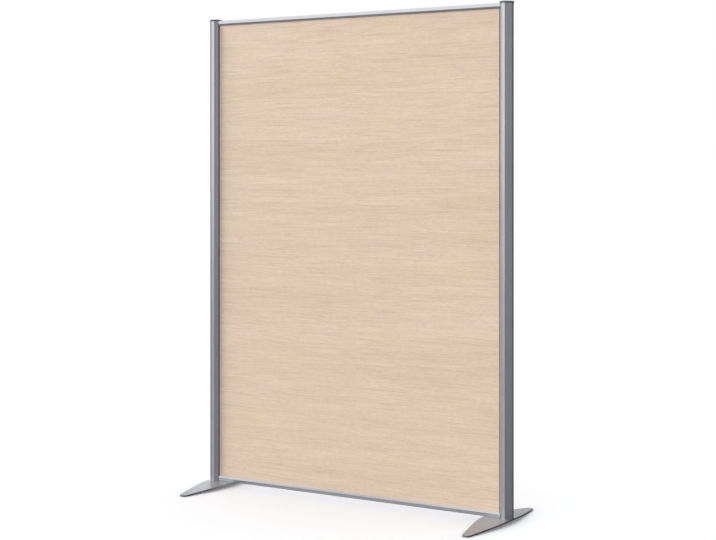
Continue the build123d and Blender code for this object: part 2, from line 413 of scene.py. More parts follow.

# Zinc, die cast and tumbled: dull grey, pitted skin 1 to 2 mm across. The real casting's edges are rubbed
# paler; that is not drawn.
CASTING = Finish("tumbled_cast_zinc", "cast_zinc", "#8C8C90", "#A9A9AB", roughness=0.55, depth=0.06,
                 metallic=1.0, grain=(1.6, 1.6, 1.6), grain_detail=3.0, grain_tone=1.0)


# Meshes

def object_mesh(name: str, mesh: Mesh) -> bpy.types.Object:
    """Puts a mesh in the scene as an object at the origin.

    Args:
        name: The name of the object and its mesh.
        mesh: The mesh, in metres and in place.

    Returns:
        The object.
    """
    mesh.name = name
    piece = bpy.data.objects.new(name, mesh)
    bpy.context.scene.collection.objects.link(piece)
    return piece


def evaluated(piece: bpy.types.Object) -> Mesh:
    """Turns an object with its modifiers into a plain mesh and removes the object.

    Args:
        piece: The object with live modifiers.

    Returns:
        The plain mesh.
    """
    bpy.context.view_layer.update()
    graph = bpy.context.evaluated_depsgraph_get()
    mesh = bpy.data.meshes.new_from_object(piece.evaluated_get(graph))
    piece.modifiers.clear()
    bpy.data.objects.remove(piece)
    return mesh


def tidied(mesh: Mesh) -> Mesh:
    """Merges a mesh's doubles, turns its faces outwards and shades it smooth between its sharp edges.

    Args:
        mesh: A closed mesh.

    Returns:
        The same mesh.
    """
    work = bmesh.new()
    work.from_mesh(mesh)
    bmesh.ops.remove_doubles(work, verts=work.verts, dist=DOUBLES)
    bmesh.ops.recalc_face_normals(work, faces=work.faces)
    work.to_mesh(mesh)
    work.free()
    mesh.shade_smooth()
    mesh.set_sharp_from_angle(angle=SMOOTH_ANGLE)
    return mesh


def placed(mesh: Mesh, matrix: Matrix) -> Mesh:
    """Moves a mesh by a matrix, and turns its faces out again where the matrix mirrors.

    Args:
        mesh: The mesh to move.
        matrix: Where it goes.

    Returns:
        The same mesh.
    """
    mesh.transform(matrix)
    if matrix.determinant() < 0:
        mesh.flip_normals()
    return mesh


def along_x(reach: float) -> Matrix:
    """Returns the matrix of a move along X, given in millimetres."""
    return Matrix.Translation((reach * MM, 0, 0))


def upwards(level: float) -> Matrix:
    """Returns the matrix of a move upwards, given in millimetres."""
    return Matrix.Translation((0, 0, level * MM))


def lofted(rings: list[Outline]) -> Mesh:
    """Joins rings of points by faces and closes both ends.

    Args:
        rings: Rings with the same number of points, in millimetres.

    Returns:
        The closed mesh, in metres.
    """
    count = len(rings[0])
    points = [(x * MM, y * MM, z * MM) for ring in rings for x, y, z in ring]
    faces = [tuple(range(count)), tuple(range(len(points) - count, len(points)))]
    for first in range(0, len(points) - count, count):
        for index in range(count):
            after = (index + 1) % count
            faces.append((first + index, first + after, first + count + after, first + count + index))
    mesh = bpy.data.meshes.new("lofted")
    mesh.from_pydata(points, [], faces)
    return tidied(mesh)


def joined(meshes: list[Mesh]) -> Mesh:
    """Puts several meshes in one.

    Args:
        meshes: The meshes, which are used up.

    Returns:
        One mesh.
    """
    work = bmesh.new()
    for mesh in meshes:
        work.from_mesh(mesh)
        bpy.data.meshes.remove(mesh)
    whole = bpy.data.meshes.new("joined")
    work.to_mesh(whole)
    work.free()
    return whole


def drilled(body: Mesh, tools: Mesh) -> Mesh:
    """Cuts holes in a mesh.

    Args:
        body: The mesh to cut, which is used up.
        tools: The solids of the holes, which are used up.

    Returns:
        The mesh with its holes.
    """
    piece, tool = object_mesh("drilling", body), object_mesh("drill", tools)
    cut = piece.modifiers.new("holes", "BOOLEAN")
    cut.operation = "DIFFERENCE"
    cut.solver = "EXACT"
    cut.object = tool
    mesh = evaluated(piece)
    bpy.data.objects.remove(tool)
    mesh.shade_smooth()
    mesh.set_sharp_from_angle(angle=SMOOTH_ANGLE)
    return mesh


def finished(name: str, mesh: Mesh, finish: Finish, *nodes: str) -> None:
    """Shows a mesh as a piece of the partition, its large faces shaded flat up to their rounded edges.

    Args:
        name: The piece's name.
        mesh: Its plain mesh, in place.
        finish: Its finish, whose material it gets.
        nodes: The CAD nodes that it stands for.
    """
    mesh.materials.clear()
    mesh.materials.append(finish.shared())
    draft = object_mesh(name, mesh)
    weighing = draft.modifiers.new("flats_stay_flat", "WEIGHTED_NORMAL")
    weighing.keep_sharp = True
    piece = object_mesh(name, evaluated(draft))
    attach(piece, BODY)
    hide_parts(*nodes)
    log.info("%s: %d faces, stands for %s", name, len(mesh.polygons), ", ".join(nodes))


def dressed(node: str, finish: Finish) -> None:
    """Gives a CAD node that keeps its mesh a new finish.

    Args:
        node: The CAD node's name.
        finish: The finish.
    """
    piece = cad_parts[node]
    if not piece.material_slots:
        piece.data.materials.append(finish.shared())
    for place in piece.material_slots:
        place.material = finish.shared()
    log.info("%s: CAD mesh with %s", node, finish.name)


# Geometry Nodes

def extruded_profile(tree: Tree, given: Sockets) -> Socket:
    """Draws a profile through its die.

    Args:
        tree: The tree that gets the nodes.
        given: Outlines as loose edges with a "corner" radius at each point, Length and Corner Steps.

    Returns:
        The section, rounded and filled, extruded upwards.
    """
    lines = add_node(tree, "GeometryNodeMeshToCurve", {"Mesh": given["Geometry"]})
    corner = add_node(tree, "GeometryNodeInputNamedAttribute", {"Name": "corner"}, data_type="FLOAT")
    rounded = add_node(tree, "GeometryNodeFilletCurve", {
        "Curve": lines.outputs[0], "Count": given["Corner Steps"],
        "Radius": corner.outputs["Attribute"], "Limit Radius": True}, mode="POLY")
    section = add_node(tree, "GeometryNodeFillCurve", {"Curve": rounded.outputs[0]}, mode="TRIANGLES")
    drawn = add_node(tree, "GeometryNodeExtrudeMesh", {
        "Mesh": section.outputs[0], "Offset": (0.0, 0.0, 1.0), "Offset Scale": given["Length"],
        "Individual": False}, mode="FACES")
    base = add_node(tree, "GeometryNodeFlipFaces", {"Mesh": section.outputs[0]})
    whole = tree.nodes.new("GeometryNodeJoinGeometry")
    for part in (drawn, base):
        tree.links.new(part.outputs[0], whole.inputs[0])
    return add_node(tree, "GeometryNodeMergeByDistance",
                    {"Geometry": whole.outputs[0], "Distance": SEAM}).outputs[0]


def screw_row(tree: Tree, given: Sockets) -> Socket:
    """Sets a screw along a rail.

    Args:
        tree: The tree that gets the nodes.
        given: The screw, the Count of its copies, the Spacing between them and a Seed.

    Returns:
        The row, centred, each screw turned as it was driven.
    """
    gaps = add_node(tree, "ShaderNodeMath", {0: given["Count"], 1: 1.0}, operation="SUBTRACT")
    reach = add_node(tree, "ShaderNodeMath", {0: gaps.outputs[0], 1: given["Spacing"]}, operation="MULTIPLY")
    back = add_node(tree, "ShaderNodeMath", {0: reach.outputs[0], 1: -0.5}, operation="MULTIPLY")
    start = add_node(tree, "ShaderNodeCombineXYZ", {"X": back.outputs[0]})
    step = add_node(tree, "ShaderNodeCombineXYZ", {"X": given["Spacing"]})
    row = add_node(tree, "GeometryNodeMeshLine", {
        "Count": given["Count"], "Start Location": start.outputs[0], "Offset": step.outputs[0]},
        mode="OFFSET")
    spin = add_node(tree, "FunctionNodeRandomValue", {2: 0.0, 3: math.tau, "Seed": given["Seed"]},
                    data_type="FLOAT")
    driven = add_node(tree, "ShaderNodeCombineXYZ", {"Z": spin.outputs[1]})
    return add_node(tree, "GeometryNodeInstanceOnPoints", {
        "Points": row.outputs[0], "Instance": given["Geometry"], "Rotation": driven.outputs[0]}).outputs[0]


def new_tree(draw: Callable, titles: dict[str, str]) -> Tree:
    """Builds a Geometry Nodes tree that ends in Realize Instances and Set Material.

    Args:
        draw: The function that draws its own nodes, and gives it its name.
        titles: The kind of each named input after the geometry.

    Returns:
        The tree.
    """
    tree = bpy.data.node_groups.new(draw.__name__, "GeometryNodeTree")
    for title, kind in {"Geometry": "Geometry", **titles}.items():
        tree.interface.new_socket(title, in_out="INPUT", socket_type=f"NodeSocket{kind}")
    tree.interface.new_socket("Geometry", in_out="OUTPUT", socket_type="NodeSocketGeometry")
    given = tree.nodes.new("NodeGroupInput").outputs
    real = add_node(tree, "GeometryNodeRealizeInstances", {"Geometry": draw(tree, given)})
    coat = add_node(tree, "GeometryNodeSetMaterial",
                    {"Geometry": real.outputs[0], "Material": given["Material"]})
    add_node(tree, "NodeGroupOutput", {0: coat.outputs[0]})
    return tree


def grown(base: Mesh, draw: Callable, finish: Finish, values: dict[str, float]) -> Mesh:
    """Runs a Geometry Nodes tree on a mesh. The tree is built when it is first asked for.

    Args:
        base: The mesh that the tree takes.
        draw: The function that draws the tree's own nodes.
        finish: The finish that it sets.
        values: Its other inputs, whole numbers or not, by name.

    Returns:
        The plain mesh that comes out, smooth.
    """
    kinds = {title: "Int" if isinstance(value, int) else "Float" for title, value in values.items()}
    tree = bpy.data.node_groups.get(draw.__name__) or new_tree(draw, {**kinds, "Material": "Material"})
    piece = object_mesh("growing", base)
    modifier = piece.modifiers.new("shape", "NODES")
    modifier.node_group = tree
    sockets = {item.name: item.identifier for item in tree.interface.items_tree if item.in_out == "INPUT"}
    for title, value in {**values, "Material": finish.shared()}.items():
        modifier[sockets[title]] = value
    return tidied(evaluated(piece))


def extruded(outlines: list[Outline], length: float, finish: Finish, steps: int = 3) -> Mesh:
    """Draws a section upwards.

    Args:
        outlines: Its closed outlines: points as x, y and corner radius, in millimetres.
        length: How long it is, in millimetres.
        finish: What it is made of.
        steps: How many points round each corner.

    Returns:
        The mesh, in metres, from zero up.
    """
    points, edges = [], []
    for outline in outlines:
        first, count = len(points), len(outline)
        points += outline
        edges += [(first + index, first + (index + 1) % count) for index in range(count)]
    mesh = bpy.data.meshes.new("outline")
    mesh.from_pydata([(x * MM, y * MM, 0.0) for x, y, _ in points], edges, [])
    corner = mesh.attributes.new("corner", "FLOAT", "POINT")
    corner.data.foreach_set("value", [radius * MM for *_, radius in points])
    return grown(mesh, extruded_profile, finish, {"Length": length * MM, "Corner Steps": steps})


# Outlines

def polar(radius: float, angle: float, third: float = 0.0) -> Point:
    """Returns the point at a radius and an angle in radians, with its level or corner radius."""
    return radius * math.cos(angle), radius * math.sin(angle), third


def circle(radius: float, level: float = 0.0, points: int = ROUND) -> Outline:
    """Returns the points of a circle round the axis, at a level."""
    return [polar(radius, math.tau * index / points, level) for index in range(points)]


def hexagon(radius: float, level: float) -> Outline:
    """Returns as many points as a circle has, on a hexagon whose flats lie at the radius."""
    turns = [math.tau * index / ROUND for index in range(ROUND)]
    return [polar(radius / math.cos(turn % SIXTH - SIXTH / 2), turn, level) for turn in turns]


def shifted(outline: Outline, step: float) -> Outline:
    """Returns an outline moved along X, in millimetres."""
    return [(x + step, y, radius) for x, y, radius in outline]


def mirrored(half: Outline, across: int, along: int) -> Outline:
    """Returns half an outline and then its mirror image backwards, with X times across and Y times along."""
    return half + [(x * across, y * along, radius) for x, y, radius in reversed(half)]


# The partition's sub-assemblies

@dataclass
class Places:
    """The places that the posts, rails and board share, in millimetres."""

    post_axis: float = 625.0
    post_half: float = 25.0
    post_inner: float = 18.0
    post_flat: float = 7.0
    post_foot: float = 20.0
    post_top: float = 1795.0
    rail_top: float = 1794.8
    rail_end: float = 18.8
    board_end: float = 23.5
    board_half: float = 9.5

    def end(self, side: Side, turn: float = 0.0, level: float = 0.0) -> Matrix:
        """Returns the matrix from a turned piece on the left post's axis to an end, mirrored at the right."""
        left = along_x(-self.post_axis) @ upwards(level) @ Matrix.Rotation(math.radians(turn), 4, "Z")
        return left if side is Side.LEFT else Matrix.Diagonal((-1, 1, 1, 1)) @ left


@dataclass
class EndPiece:
    """A sub-assembly that stands at one end of the partition."""

    side: Side
    places: Places

    def show(self, name: str, mesh: Mesh, finish: Finish, node: str, level: float = 0.0, turn: float = 0.0,
             where: str = "") -> None:
        """Puts a mesh, drawn round the left post's axis, at this end and shows it.

        Args:
            name: The piece's name, up to the side.
            mesh: Its mesh.
            finish: Its finish.
            node: The name of the CAD node that it stands for, up to the side.
            level: Its height, in millimetres.
            turn: Its turn about the post's axis, in degrees.
            where: What follows the side in both names.
        """
        tail = f"_{self.side.value}{where}"
        mesh = placed(mesh, self.places.end(self.side, turn, level))
        finished(name + tail, mesh, finish, node + tail)


@dataclass
class Slot:
    """The linking slot in each flat of the post, and the legs that snap in it."""

    seat: float = 23.6
    seat_half: float = 6.3
    lip: float = 21.6
    mouth_half: float = 4.0
    floor: float = 16.6
    cavity_half: float = 6.5
    fit: float = 0.1
    leg: float = 1.1
    barb: float = 0.8
    barb_length: float = 2.2
    edge: float = 0.15
    lip_corner: float = 0.3
    floor_corner: float = 0.5
    leg_corner: float = 0.2

    def cut(self, half: float) -> Outline:
        """Returns the outline of the slot that faces +X, from one side of its flat at half to the other."""
        return mirrored([
            (half, -self.seat_half, self.edge), (self.seat, -self.seat_half, SHARP),
            (self.seat, -self.mouth_half, self.edge), (self.lip, -self.mouth_half, self.edge),
            (self.lip, -self.cavity_half, self.lip_corner),
            (self.floor, -self.cavity_half, self.floor_corner)], 1, -1)

    def snapped(self, face: Outline) -> Outline:
        """Draws the section of a strip that snaps in the slot by two barbed legs.

        Args:
            face: Half of the strip's face, from the middle outwards.

        Returns:
            Its outline.
        """
        outer = self.mouth_half - self.fit
        inner = outer - self.leg
        hook = self.lip - self.fit
        tip = hook - self.barb_length
        return mirrored([*face, (self.seat, outer, self.leg_corner), (hook, outer, 0.0),
                         (hook, outer + self.barb, SHARP), (tip, outer, self.leg_corner),
                         (tip, inner, self.leg_corner), (self.seat, inner, self.lip_corner)], 1, -1)


@dataclass
class Post(EndPiece):
    """One end post: the slotted extrusion, its snap-in strips and the seal to the board.

    The post is an octagon that is cut back on the board's side, so that the slot there lies deeper.
    """

    slot: Slot = field(default_factory=Slot)
    wall: float = 2.0
    web: float = 1.8
    slot_wall: float = 1.8
    port: float = 4.1
    port_wall: float = 2.2
    port_points: int = 32
    arc_steps: int = 8
    corner: float = 0.8
    chamber_corner: float = 0.6
    strip_corner: float = 0.4
    stem_half: float = 3.5
    stem_corner: float = 0.5
    stem_root: float = 0.3
    seal_foot: float = 39.1
    seal_top: float = 1775.7

    def outline(self) -> Outline:
        """Draws the outer outline, which runs in and out of the four slots.

        Returns:
            The outline.
        """
        half, inner, flat = self.places.post_half, self.places.post_inner, self.places.post_flat
        wide = half + flat - inner
        cut = self.slot.cut(half)
        near = [(inner, -wide, self.corner), *shifted(cut, inner - half), (inner, wide, self.corner)]
        quarter = [(half, -flat, self.corner), *cut, (half, flat, self.corner)]
        return near + [(x * c - y * s, x * s + y * c, radius)
                       for c, s in ((0, 1), (-1, 0), (0, -1)) for x, y, radius in quarter]

    def chamber(self, face: float, slot: float) -> Outline:
        """Draws the hollow between the slots that face +X and +Y.

        Args:
            face: How far the wall behind the +X face is from the post's axis.
            slot: How far the wall behind the +X slot is.

        Returns:
            Its outline.
        """
        near = self.slot.floor - self.slot_wall
        side = self.slot.cavity_half + self.slot_wall
        reach = self.places.post_half + self.places.post_flat - self.wall * math.sqrt(2)
        radius = self.port + self.port_wall
        web = self.web / 2
        lean = math.asin(web / radius)
        step = (QUARTER - 2 * lean) / self.arc_steps
        arc = [polar(radius, QUARTER - lean - i * step) for i in range(self.arc_steps + 1)]
        before = [(face, side), (face, reach - face), (side, reach - side), (side, near), (web, near)]
        return [*((x, y, self.chamber_corner) for x, y in before), *arc,
                *((slot, y, self.chamber_corner) for y in (web, side))]

    def chambers(self) -> list[Outline]:
        """Draws the four hollows in the corners and the round screw port.

        Returns:
            Their outlines.
        """
        half, inner = self.places.post_half, self.places.post_inner
        near = self.slot.floor - self.slot_wall
        board_side = self.chamber(inner - self.wall, near + inner - half)
        free_side = [(-x, y, corner) for x, y, corner in self.chamber(half - self.wall, near)]
        other = [[(x, -y, corner) for x, y, corner in hollow] for hollow in (board_side, free_side)]
        return [board_side, free_side, *other, circle(self.port, points=self.port_points)]

    def build(self) -> None:
        """Makes the post, its strips and its seal."""
        places, seat = self.places, self.slot
        half, foot = places.post_half, places.post_foot
        length = places.post_top - foot
        body = extruded([self.outline(), *self.chambers()], length, POST_METAL)
        self.show("post_extrusion", body, POST_METAL, "post", foot)
        width = seat.seat_half - seat.fit
        cover = seat.snapped([(half, width, self.strip_corner), (seat.seat, width, SHARP)])
        for turn in Turn:
            self.show("snap_strip", extruded([cover], length, STRIP), STRIP, "slot_cover", foot, turn.value,
                      f"_{turn.name.lower()}")
        step = half - places.post_inner
        stem = seat.snapped([(places.board_end + step, self.stem_half, self.stem_corner),
                             (half, self.stem_half, self.stem_root), (half, width, SHARP),
                             (seat.seat, width, SHARP)])
        seal = extruded([shifted(stem, -step)], self.seal_top - self.seal_foot, SEAL)
        self.show("board_seal", seal, SEAL, "panel_seal", self.seal_foot)


@dataclass
class Cap(EndPiece):
    """The moulded cap of a post: a proud plate, a skirt open to the board and four crossed legs.

    The top rises a little to its middle, by rings that are each given as their inset and their fall.
    """

    proud: float = 1.25
    height: float = 5.0
    corner: float = 2.0
    least_corner: float = 0.2
    corner_steps: int = 4
    edge: float = 1.2
    edge_steps: int = 5
    crown: float = 0.15
    rise: tuple[Pair, ...] = ((6.0, 0.03), (12.0, 0.0))
    skirt: float = 2.0
    skirt_corner: float = 0.8
    skirt_fit: float = 0.1
    skirt_gap: float = 1.0
    leg_half: float = 3.1
    fin_half: float = 0.8
    fin_least: float = 0.25
    leg_root: float = 1.0
    leg_length: float = 18.0
    leg_draft: float = 0.25
    tip_draft: float = 0.8
    leg_reach: float = 17.3775

    def corners(self, grow: float) -> list[Pair]:
        """Works out the corners of the post's outline without its slots.

        Args:
            grow: How far the outline is moved outwards, in millimetres.

        Returns:
            The corners, from the board's side round.
        """
        half, inner = self.places.post_half + grow, self.places.post_inner + grow
        flat = self.places.post_flat + grow * OCTAGON
        wide = half + flat - inner
        return [(inner, -wide), (inner, wide), (flat, half), (-flat, half), (-half, flat), (-half, -flat),
                (-flat, -half), (flat, -half)]

    def ring(self, inset: float, level: float) -> Outline:
        """Draws the rounded outline of the plate.

        Args:
            inset: How far it is in from its widest, in millimetres.
            level: Its level.

        Returns:
            Its points.
        """
        radius = max(self.corner - inset, self.least_corner)
        points = []
        for index, corner in enumerate(self.corners(self.proud - inset)):
            turned = EIGHTH * (index - 1)
            back = Vector(corner) - radius * OCTAGON * Vector((-math.sin(turned), math.cos(turned)))
            centre = back - radius * Vector((math.cos(turned), math.sin(turned)))
            for step in range(self.corner_steps + 1):
                x, y, _ = polar(radius, turned + EIGHTH * step / self.corner_steps)
                points.append((centre.x + x, centre.y + y, level))
        return points

    def collar(self) -> Outline:
        """Draws the skirt, which stops short of the post's flat to the board.

        Returns:
            Its outline.
        """
        end = self.places.post_inner - self.skirt_gap
        rim = []
        for grow, radius in ((self.proud, self.corner), (self.skirt_fit, self.skirt_corner)):
            around = self.corners(grow)[2:]
            last = sum(around[0]) - end
            rim.append([(end, last, SHARP), *((x, y, radius) for x, y in around), (end, -last, SHARP)])
        return rim[0] + rim[1][::-1]

    def leg(self, turn: float) -> Mesh:
        """Makes one crossed leg, which hangs in a corner chamber.

        Args:
            turn: Which corner it hangs in, as a turn in radians.

        Returns:
            The leg.
        """
        rings = []
        for level, draft in ((self.leg_root, 0.0), (self.leg_root - self.leg_length, self.leg_draft),
                             (-self.leg_length, self.tip_draft)):
            wide, thin = self.leg_half - draft, max(self.fin_half - draft, self.fin_least)
            arm = [(wide, thin), (thin, thin), (thin, wide)]
            cross = [(x * c - y * s, x * s + y * c)
                     for c, s in ((1, 0), (0, 1), (-1, 0), (0, -1)) for x, y in arm]
            rings.append([(x + self.leg_reach, y, level) for x, y in cross])
        return placed(lofted(rings), Matrix.Rotation(turn, 4, "Z"))

    def build(self) -> None:
        """Makes the cap."""
        skirt = placed(extruded([self.collar()], self.skirt, CAP, steps=4), upwards(-self.skirt))
        rings = [self.ring(0.0, 0.0)]
        brim = self.height - self.crown - self.edge
        for step in range(self.edge_steps + 1):
            angle = QUARTER * step / self.edge_steps
            rings.append(self.ring(self.edge * (1 - math.cos(angle)), brim + self.edge * math.sin(angle)))
        rings += [self.ring(inset, self.height - fall) for inset, fall in self.rise]
        legs = [self.leg(EIGHTH * index) for index in (1, 3, 5, 7)]
        body = joined([lofted(rings), skirt, *legs])
        self.show("moulded_cap", body, CAP, "post_cap", self.places.post_top)


@dataclass
class Screw:
    """A socket screw turned from rings, drawn with its head's seat or face at zero and its shank upwards.

    The shank and the head are given by their radius, the key by its width across flats.
    """

    shank: float
    head: float
    head_height: float
    length: float
    key: float
    key_depth: float
    pitch: float
    countersunk: bool = False
    thread_depth: float = 0.5
    runout: float = 1.0
    tip: float = 0.6
    tip_share: float = 0.75
    drill_share: float = 0.4
    drill_depth: float = 0.25
    chamfer: float = 0.2
    chamfer_share: float = 1.08
    land_share: float = 1.35
    edge: float = 0.12
    rim: float = 0.3
    rim_edge: float = 0.15
    crown: tuple[float, ...] = (62.0, 46.0, 30.0, 14.0)
    crown_rise: float = 1.1
    crown_drop: float = 0.1
    neck: float = 0.1

    def thread(self, start: float) -> list[Outline]:
        """Draws the shank from a level up: ridges a pitch apart and a clipped tip.

        Args:
            start: The level, in millimetres.

        Returns:
            Its rings.
        """
        deep = self.shank - self.pitch * self.thread_depth
        rings = []
        turns = int((self.length - start - self.runout) / self.pitch)
        for index in range(turns):
            level = start + index * self.pitch
            rings += [circle(deep, level), circle(self.shank, level + self.pitch / 2)]
        return rings + [circle(deep, start + turns * self.pitch), circle(deep, self.length - self.tip),
                        circle(deep * self.tip_share, self.length)]

    def mesh(self) -> Mesh:
        """Makes the screw.

        Returns:
            The closed mesh.
        """
        face = 0.0 if self.countersunk else -self.head_height
        key, floor = self.key / 2, face + self.key_depth
        rings = [circle(key * self.drill_share, floor + self.drill_depth), hexagon(key, floor),
                 hexagon(key, face + self.chamfer), hexagon(key * self.chamfer_share, face),
                 circle(key * self.land_share, face)]
        if self.countersunk:
            under = self.head - self.shank
            rings += [circle(self.head - self.edge, face), circle(self.head, face + self.edge),
                      circle(self.shank, under)]
            start = under + self.neck
        else:
            for angle in (math.radians(degrees) for degrees in self.crown):
                level = face * math.sin(angle) * self.crown_rise - self.crown_drop
                rings.append(circle(self.head * math.cos(angle), level))
            rings += [circle(self.head, -self.rim), circle(self.head - self.rim_edge), circle(self.shank)]
            start = self.runout
        return lofted(rings + self.thread(start))


@dataclass
class Rail:
    """A level rail with its screws: bevelled sides, a hollow for the hooks and a channel for the board.

    The cast hooks in it keep their CAD meshes.
    """

    level: Level
    places: Places
    seed: int
    half: float = 12.5
    height: float = 19.0
    face: float = 12.0
    wall: float = 2.2
    side_wall: float = 2.0
    web_top: float = 8.0
    channel_floor: float = 10.0
    channel_half: float = 9.6
    lip: float = 10.3
    corner: float = 0.8
    bend: float = 0.6
    lip_corner: float = 0.25
    mouth_corner: float = 0.15
    hollow_corner: float = 0.4
    near_hole: float = 42.0
    far_hole: float = 66.0
    sink: float = 4.7
    bore: float = 2.75
    overrun: float = 1.0
    screw: Screw = field(default_factory=lambda: Screw(
        shank=2.5, head=4.6, head_height=0.0, length=7.4, key=3.0, key_depth=1.6, pitch=0.8,
        countersunk=True))

    def outlines(self) -> list[Outline]:
        """Draws the section, across the rail and up towards the board.

        Returns:
            The outline of the rail and that of its hollow.
        """
        outer = [(self.half, 0.0, self.corner), (self.half, self.face, self.bend),
                 (self.lip, self.height, self.lip_corner),
                 (self.channel_half, self.height, self.mouth_corner),
                 (self.channel_half, self.channel_floor, self.hollow_corner)]
        wide = self.half - self.side_wall
        hollow = [(wide, level, self.hollow_corner) for level in (self.wall, self.web_top)]
        return [mirrored(outer, -1, 1), mirrored(hollow, -1, 1)]

    def base(self) -> float:
        """Returns the level of the rail's outer face, in millimetres."""
        return self.places.rail_top if self.level is Level.TOP else self.places.post_foot

    def outward(self) -> Matrix:
        """Returns the matrix from a screw, drawn upwards, to the rail's outer face."""
        return upwards(self.base()) @ Matrix.Rotation(math.pi if self.level is Level.TOP else 0.0, 4, "X")

    def cutters(self) -> Mesh:
        """Makes the tools for the screw holes.

        Returns:
            The solids of all the holes, in place.
        """
        inside = circle(self.bore, self.wall + self.overrun)
        sunk = [circle(self.sink + self.overrun, -self.overrun), circle(self.bore, self.sink - self.bore),
                inside]
        holes = [(self.near_hole, sunk)]
        if self.level is Level.BOTTOM:
            holes.append((self.far_hole, [circle(self.bore, -self.overrun), inside]))
        return joined([placed(lofted(rings), self.outward() @ along_x(way * (self.places.post_axis - reach)))
                       for reach, rings in holes for way in (-1, 1)])

    def build(self) -> None:
        """Makes the rail with its holes and its row of screws, and dresses its hooks."""
        name = self.level.value
        reach = self.places.post_axis - self.places.rail_end
        way = -1 if self.level is Level.TOP else 1
        lying = Matrix(((0, 0, 1, -reach * MM), (way, 0, 0, 0), (0, way, 0, self.base() * MM), (0, 0, 0, 1)))
        bar = placed(extruded(self.outlines(), 2 * reach, RAIL_METAL), lying)
        finished(f"{name}_rail_extrusion", drilled(bar, self.cutters()), RAIL_METAL, f"{name}_rail")
        row = grown(self.screw.mesh(), screw_row, PLATING, {
            "Count": 2, "Spacing": 2 * (self.places.post_axis - self.near_hole) * MM, "Seed": self.seed})
        finished(f"{name}_rail_screws", placed(row, self.outward()), PLATING, f"lock_screws_{name}")
        for side in Side:
            dressed(f"rail_lock_{name}_{side.value}", CASTING)


@dataclass
class Board:
    """The board: a chipboard core, a printed facing on each face and edging on its upright edges."""

    places: Places
    low: float = 30.0
    high: float = 1784.5
    band: float = 2.0
    facing: float = 0.8
    arris: float = 0.35
    core_arris: float = 0.05
    edging_corner: float = 1.0

    def slab(self, x: Pair, y: Pair, arris: float) -> Mesh:
        """Makes an upright slab with its arrises broken.

        Args:
            x: Its ends, in millimetres.
            y: Its faces.
            arris: How far its edges are rounded.

        Returns:
            The slab.
        """
        work = bmesh.new()
        bmesh.ops.create_cube(work, size=1.0)
        size = Vector((x[1] - x[0], y[1] - y[0], self.high - self.low)) * MM
        middle = Vector((sum(x), sum(y), self.low + self.high)) * MM / 2
        for corner in work.verts:
            corner.co = Vector(a * b for a, b in zip(corner.co, size)) + middle
        bmesh.ops.bevel(work, geom=work.edges, offset=arris * MM, segments=2, profile=0.5, affect="EDGES")
        mesh = bpy.data.meshes.new("slab")
        work.to_mesh(mesh)
        work.free()
        return tidied(mesh)

    def build(self) -> None:
        """Makes the core, the two facings and the edging."""
        half, near = self.places.board_half, self.places.board_end
        reach = self.places.post_axis - near - self.band
        span, inside = (-reach, reach), half - self.facing
        finished("chipboard_core", self.slab(span, (-inside, inside), self.core_arris), CORE, "panel_board")
        for name, face in (("front", (-half, -inside)), ("back", (inside, half))):
            finished(f"beech_facing_{name}", self.slab(span, face, self.arris), FACING, "panel_board")
        outline = mirrored([(near, -half, self.edging_corner), (near + self.band, -half, self.core_arris)],
                           1, -1)
        for side in Side:
            mesh = placed(extruded([outline], self.high - self.low, EDGING, steps=4),
                          self.places.end(side, level=self.low))
            finished(f"board_edging_{side.value}", mesh, EDGING, f"edge_band_{side.value}")


